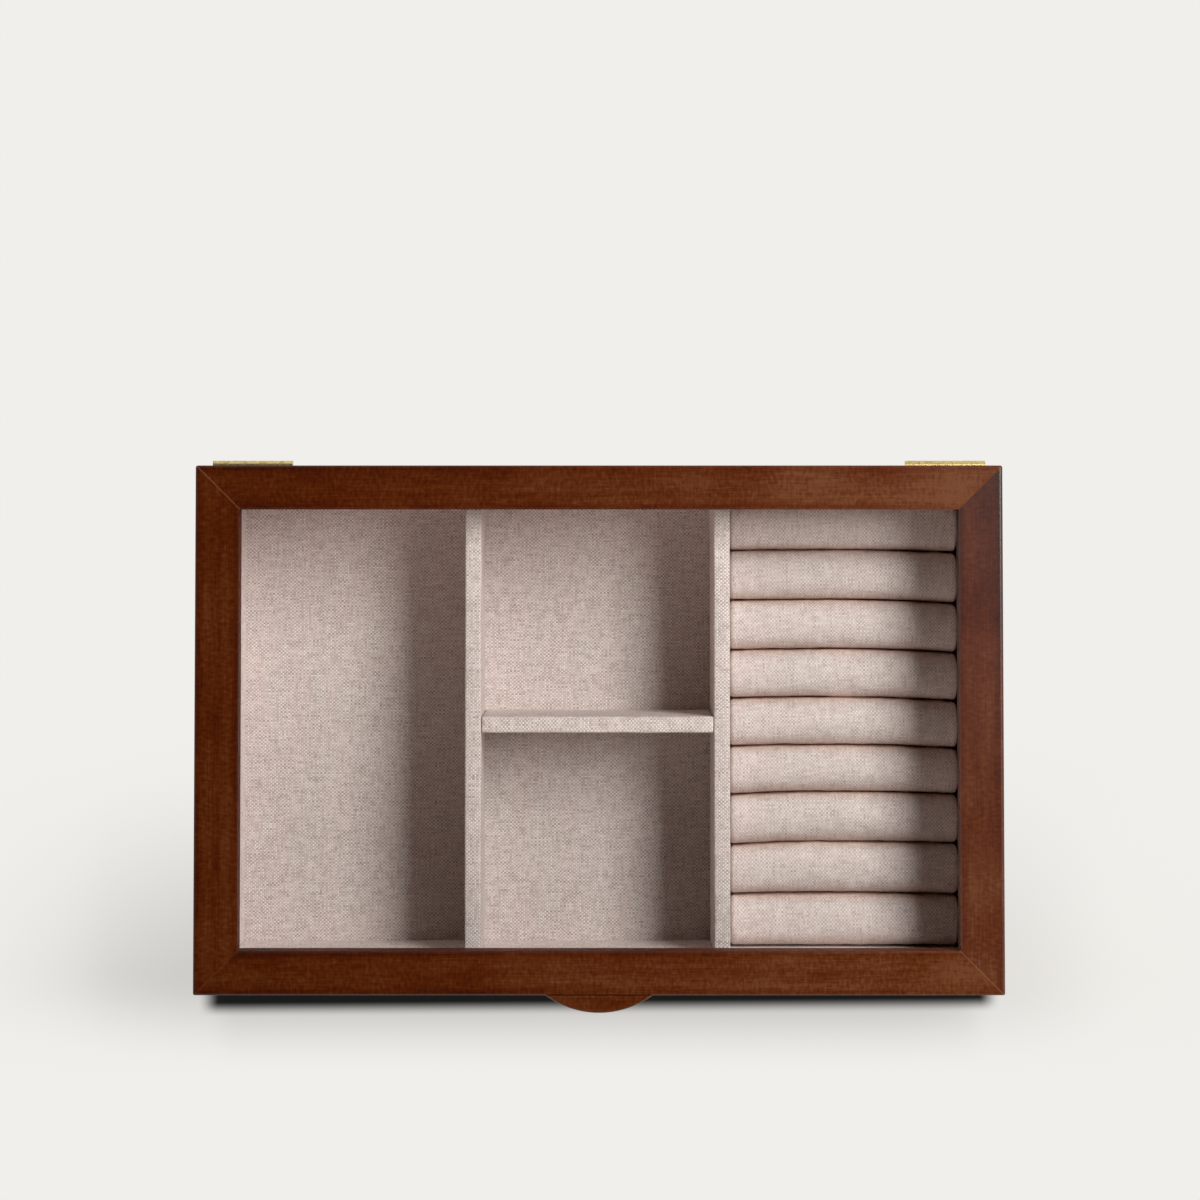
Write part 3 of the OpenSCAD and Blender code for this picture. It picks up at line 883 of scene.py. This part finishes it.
def roll_tree():
    group = bpy.data.node_groups.new("ring_roll", "GeometryNodeTree")
    group.interface.new_socket("Geometry", in_out="OUTPUT", socket_type="NodeSocketGeometry")
    for name in ROLL_SIZES:
        group.interface.new_socket(name, in_out="INPUT", socket_type="NodeSocketFloat")
    group.interface.new_socket("Material", in_out="INPUT", socket_type="NodeSocketMaterial")
    tree = Tree(group)
    given = {name: tree.node("NodeGroupInput", None, None, name)
             for name in (*ROLL_SIZES, "Material")}
    size = {"Size X": 1.0, "Size Y": 1.0, "Vertices X": AROUND + 1, "Vertices Y": ALONG + 1}
    grid = tree.node("GeometryNodeMeshGrid", None, size)
    u, v, _ = tree.split(Value(tree, grid.socket.node.outputs["UV Map"]))

    row = v * ALONG
    from_end = row.math("MINIMUM", ALONG - row)
    cap = (from_end / CAP_ROWS).math("MINIMUM", 1.0)
    turn = ((from_end - CAP_ROWS) / DOME_ROWS).math("MAXIMUM", 0.0).math("MINIMUM", 1.0)
    turn = turn * (math.pi / 2)
    end_r = given["End Radius"]
    inset = end_r * (1 - turn.math("SINE"))
    rest = (from_end - (CAP_ROWS + DOME_ROWS)).math("MAXIMUM", 0.0)
    step = (given["Length"] - end_r * 2) / (ALONG - 2 * (CAP_ROWS + DOME_ROWS))
    inwards = end_r * (1 - turn.math("COSINE")) + rest * step
    on_right = v > 0.5
    along = inwards * (1 - on_right) + (given["Length"] - inwards) * on_right

    across, up, whole = section_point(tree, given, u)
    middle = given["Height"] * 0.5
    across = across * (1 - inset * 2 / given["Width"]) * cap
    up = middle + (up - middle) * (1 - inset * 2 / given["Height"]) * cap
    share = along / given["Length"]
    back = slot_line(share, *(given[n] for n in ("Back", "Back Left Drop", "Back Right Drop")))
    front = slot_line(share, *(given[n] for n in ("Front", "Front Left Drop", "Front Right Drop")))
    y = (back + front) * 0.5 + across / given["Width"] * (back - front)
    place = tree.vector(given["Left"] + along, y, given["Foot"] + up)
    rolled = tree.node("GeometryNodeSetPosition", None, {"Geometry": grid, "Position": place})

    over_end = end_r * (math.pi / 2 - turn) + (1 - cap) * middle
    from_middle = given["Length"] * 0.5 - end_r - rest * step + over_end
    metres = tree.vector(u * whole, from_middle * (on_right * 2 - 1))
    settings = {"data_type": "FLOAT2", "domain": "CORNER"}
    mapped = tree.node("GeometryNodeStoreNamedAttribute", settings,
                       {"Geometry": rolled, "Name": CLOTH_MAP, "Value": metres})
    closed = tree.node("GeometryNodeMergeByDistance", None,
                       {"Geometry": mapped, "Distance": 0.01 * MM})
    real = tree.node("GeometryNodeRealizeInstances", None, {"Geometry": closed})
    done = tree.node("GeometryNodeSetMaterial", None,
                     {"Geometry": real, "Material": given["Material"]})
    tree.node("NodeGroupOutput", None, {"Geometry": done})
    return group


roll_group = roll_tree()
print("the tree of a roll has", len(roll_group.nodes), "nodes")

# %% Make the nine rolls
ROLL_CONTRAST = 0.62     # the weave shows less where the cloth is stretched
# painted light and shade: the rolls' cloth is scaled to how they are lit
ROLL_PAINTED_BRIGHTNESS = 0.95
ROLL_END_R = 1.6 * MM
ROLL_CROWN = 2.8 * MM
ROLL_EDGE_R = 3.5 * MM


def plain_mesh_from(group, values):
    """Runs a Geometry Nodes tree once and returns its result as a plain mesh."""
    maker = bpy.data.objects.new("maker", bpy.data.meshes.new("maker"))
    bpy.context.scene.collection.objects.link(maker)
    modifier = maker.modifiers.new("roll", "NODES")
    modifier.node_group = group
    for item in group.interface.items_tree:
        if item.in_out == "INPUT":
            modifier[item.identifier] = values[item.name]
    seen_by = bpy.context.evaluated_depsgraph_get()
    data = bpy.data.meshes.new_from_object(maker.evaluated_get(seen_by), depsgraph=seen_by)
    maker.modifiers.remove(modifier)
    bpy.data.objects.remove(maker)
    return data


def make_roll(index, node, behind, ahead):
    """behind and ahead are the slots at the back and the front of the roll."""
    low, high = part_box(node)
    values = {
        "Left": low.x, "Length": high.x - low.x, "Foot": low.z, "Width": high.y - low.y,
        "Height": high.z - low.z, "Crown": ROLL_CROWN, "Edge Radius": ROLL_EDGE_R,
        "End Radius": ROLL_END_R,
        "Back": behind[0] - SLOT_GAP / 2,
        "Back Left Drop": behind[1], "Back Right Drop": behind[2],
        "Front": ahead[0] + SLOT_GAP / 2,
        "Front Left Drop": ahead[1], "Front Right Drop": ahead[2],
        "Material": linen(node, 0.9 + index * 0.213, ROLL_PAINTED_BRIGHTNESS, ROLL_CONTRAST, painted_bounce=True),
    }
    data = plain_mesh_from(roll_group, values)
    data.name = "linen_" + node
    mesh = bmesh.new()
    mesh.from_mesh(data)
    bmesh.ops.recalc_face_normals(mesh, faces=mesh.faces)
    mesh.to_mesh(data)
    mesh.free()
    data.shade_smooth()
    roll = bpy.data.objects.new("linen_" + node, data)
    bpy.context.scene.collection.objects.link(roll)
    return roll


roll_slots = slots()
rolls = [make_roll(index, node, roll_slots[index], roll_slots[index + 1])
         for index, node in enumerate(ROLL_NAMES)]
print(len(rolls), "rolls of", len(rolls[0].data.polygons), "faces")

# %% [markdown]
# ## The foam swells
# The foam presses the linen from inside. The Cloth simulation takes a slightly larger cloth,
# held where the rolls stand between each other, and lets the pressure push its free crown
# up for twenty frames. How far a point may move is capped, and never towards the next roll.

# %% Let the rolls swell
SWELL_FRAMES = 20
HELD_SHARE = 0.55        # of a roll's height, from its foot
MOST_UP = 0.5 * MM
MOST_INWARDS = 0.3 * MM


def add_foam(roll):
    """Holds the lower part of a roll and puts Cloth on it."""
    heights = [vert.co.z for vert in roll.data.vertices]
    limit = min(heights) + HELD_SHARE * (max(heights) - min(heights))
    held = roll.vertex_groups.new(name="held")
    held.add([index for index, z in enumerate(heights) if z < limit], 1.0, "REPLACE")
    cloth = roll.modifiers.new("foam", "CLOTH")
    cloth.point_cache.frame_end = SWELL_FRAMES
    cloth.collision_settings.use_collision = False
    cloth.settings.quality = 6
    cloth.settings.vertex_group_mass = "held"
    cloth.settings.use_pressure = True
    cloth.settings.uniform_pressure_force = 4.0
    cloth.settings.shrink_min = -0.012
    cloth.settings.bending_stiffness = 0.05
    cloth.settings.effector_weights.gravity = 0.0


def capped(place, swollen, middle):
    """A swollen point, not too far from its place, and never further out than it."""
    step = swollen - place
    for axis in (0, 1):
        inwards = 1 if place[axis] < middle[axis] else -1
        step[axis] = inwards * min(max(step[axis] * inwards, 0.0), MOST_INWARDS)
    step.z = min(max(step.z, -MOST_INWARDS), MOST_UP)
    return place + step


def swell(pieces):
    for roll in pieces:
        add_foam(roll)
    for number in range(1, SWELL_FRAMES + 1):
        bpy.context.scene.frame_set(number)
    graph = bpy.context.evaluated_depsgraph_get()
    furthest = 0.0
    for roll in pieces:
        swollen = [vert.co.copy() for vert in roll.evaluated_get(graph).data.vertices]
        roll.modifiers.remove(roll.modifiers["foam"])
        verts = roll.data.vertices
        middle = sum((vert.co for vert in verts), Vector()) / len(verts)
        for vert, target in zip(verts, swollen):
            furthest = max(furthest, (target - vert.co).length)
            vert.co = capped(vert.co, target, middle)
        roll.data.update()
    bpy.context.scene.frame_set(1)
    print(f"before the cap, the furthest point moved {furthest / MM:.2f} mm")


swell(rolls)

# %% Finish the rolls
for roll, node in zip(rolls, ROLL_NAMES):
    finer = roll.modifiers.new("finer", "SUBSURF")
    finer.levels = finer.render_levels = 1
    stands_for(roll, node)
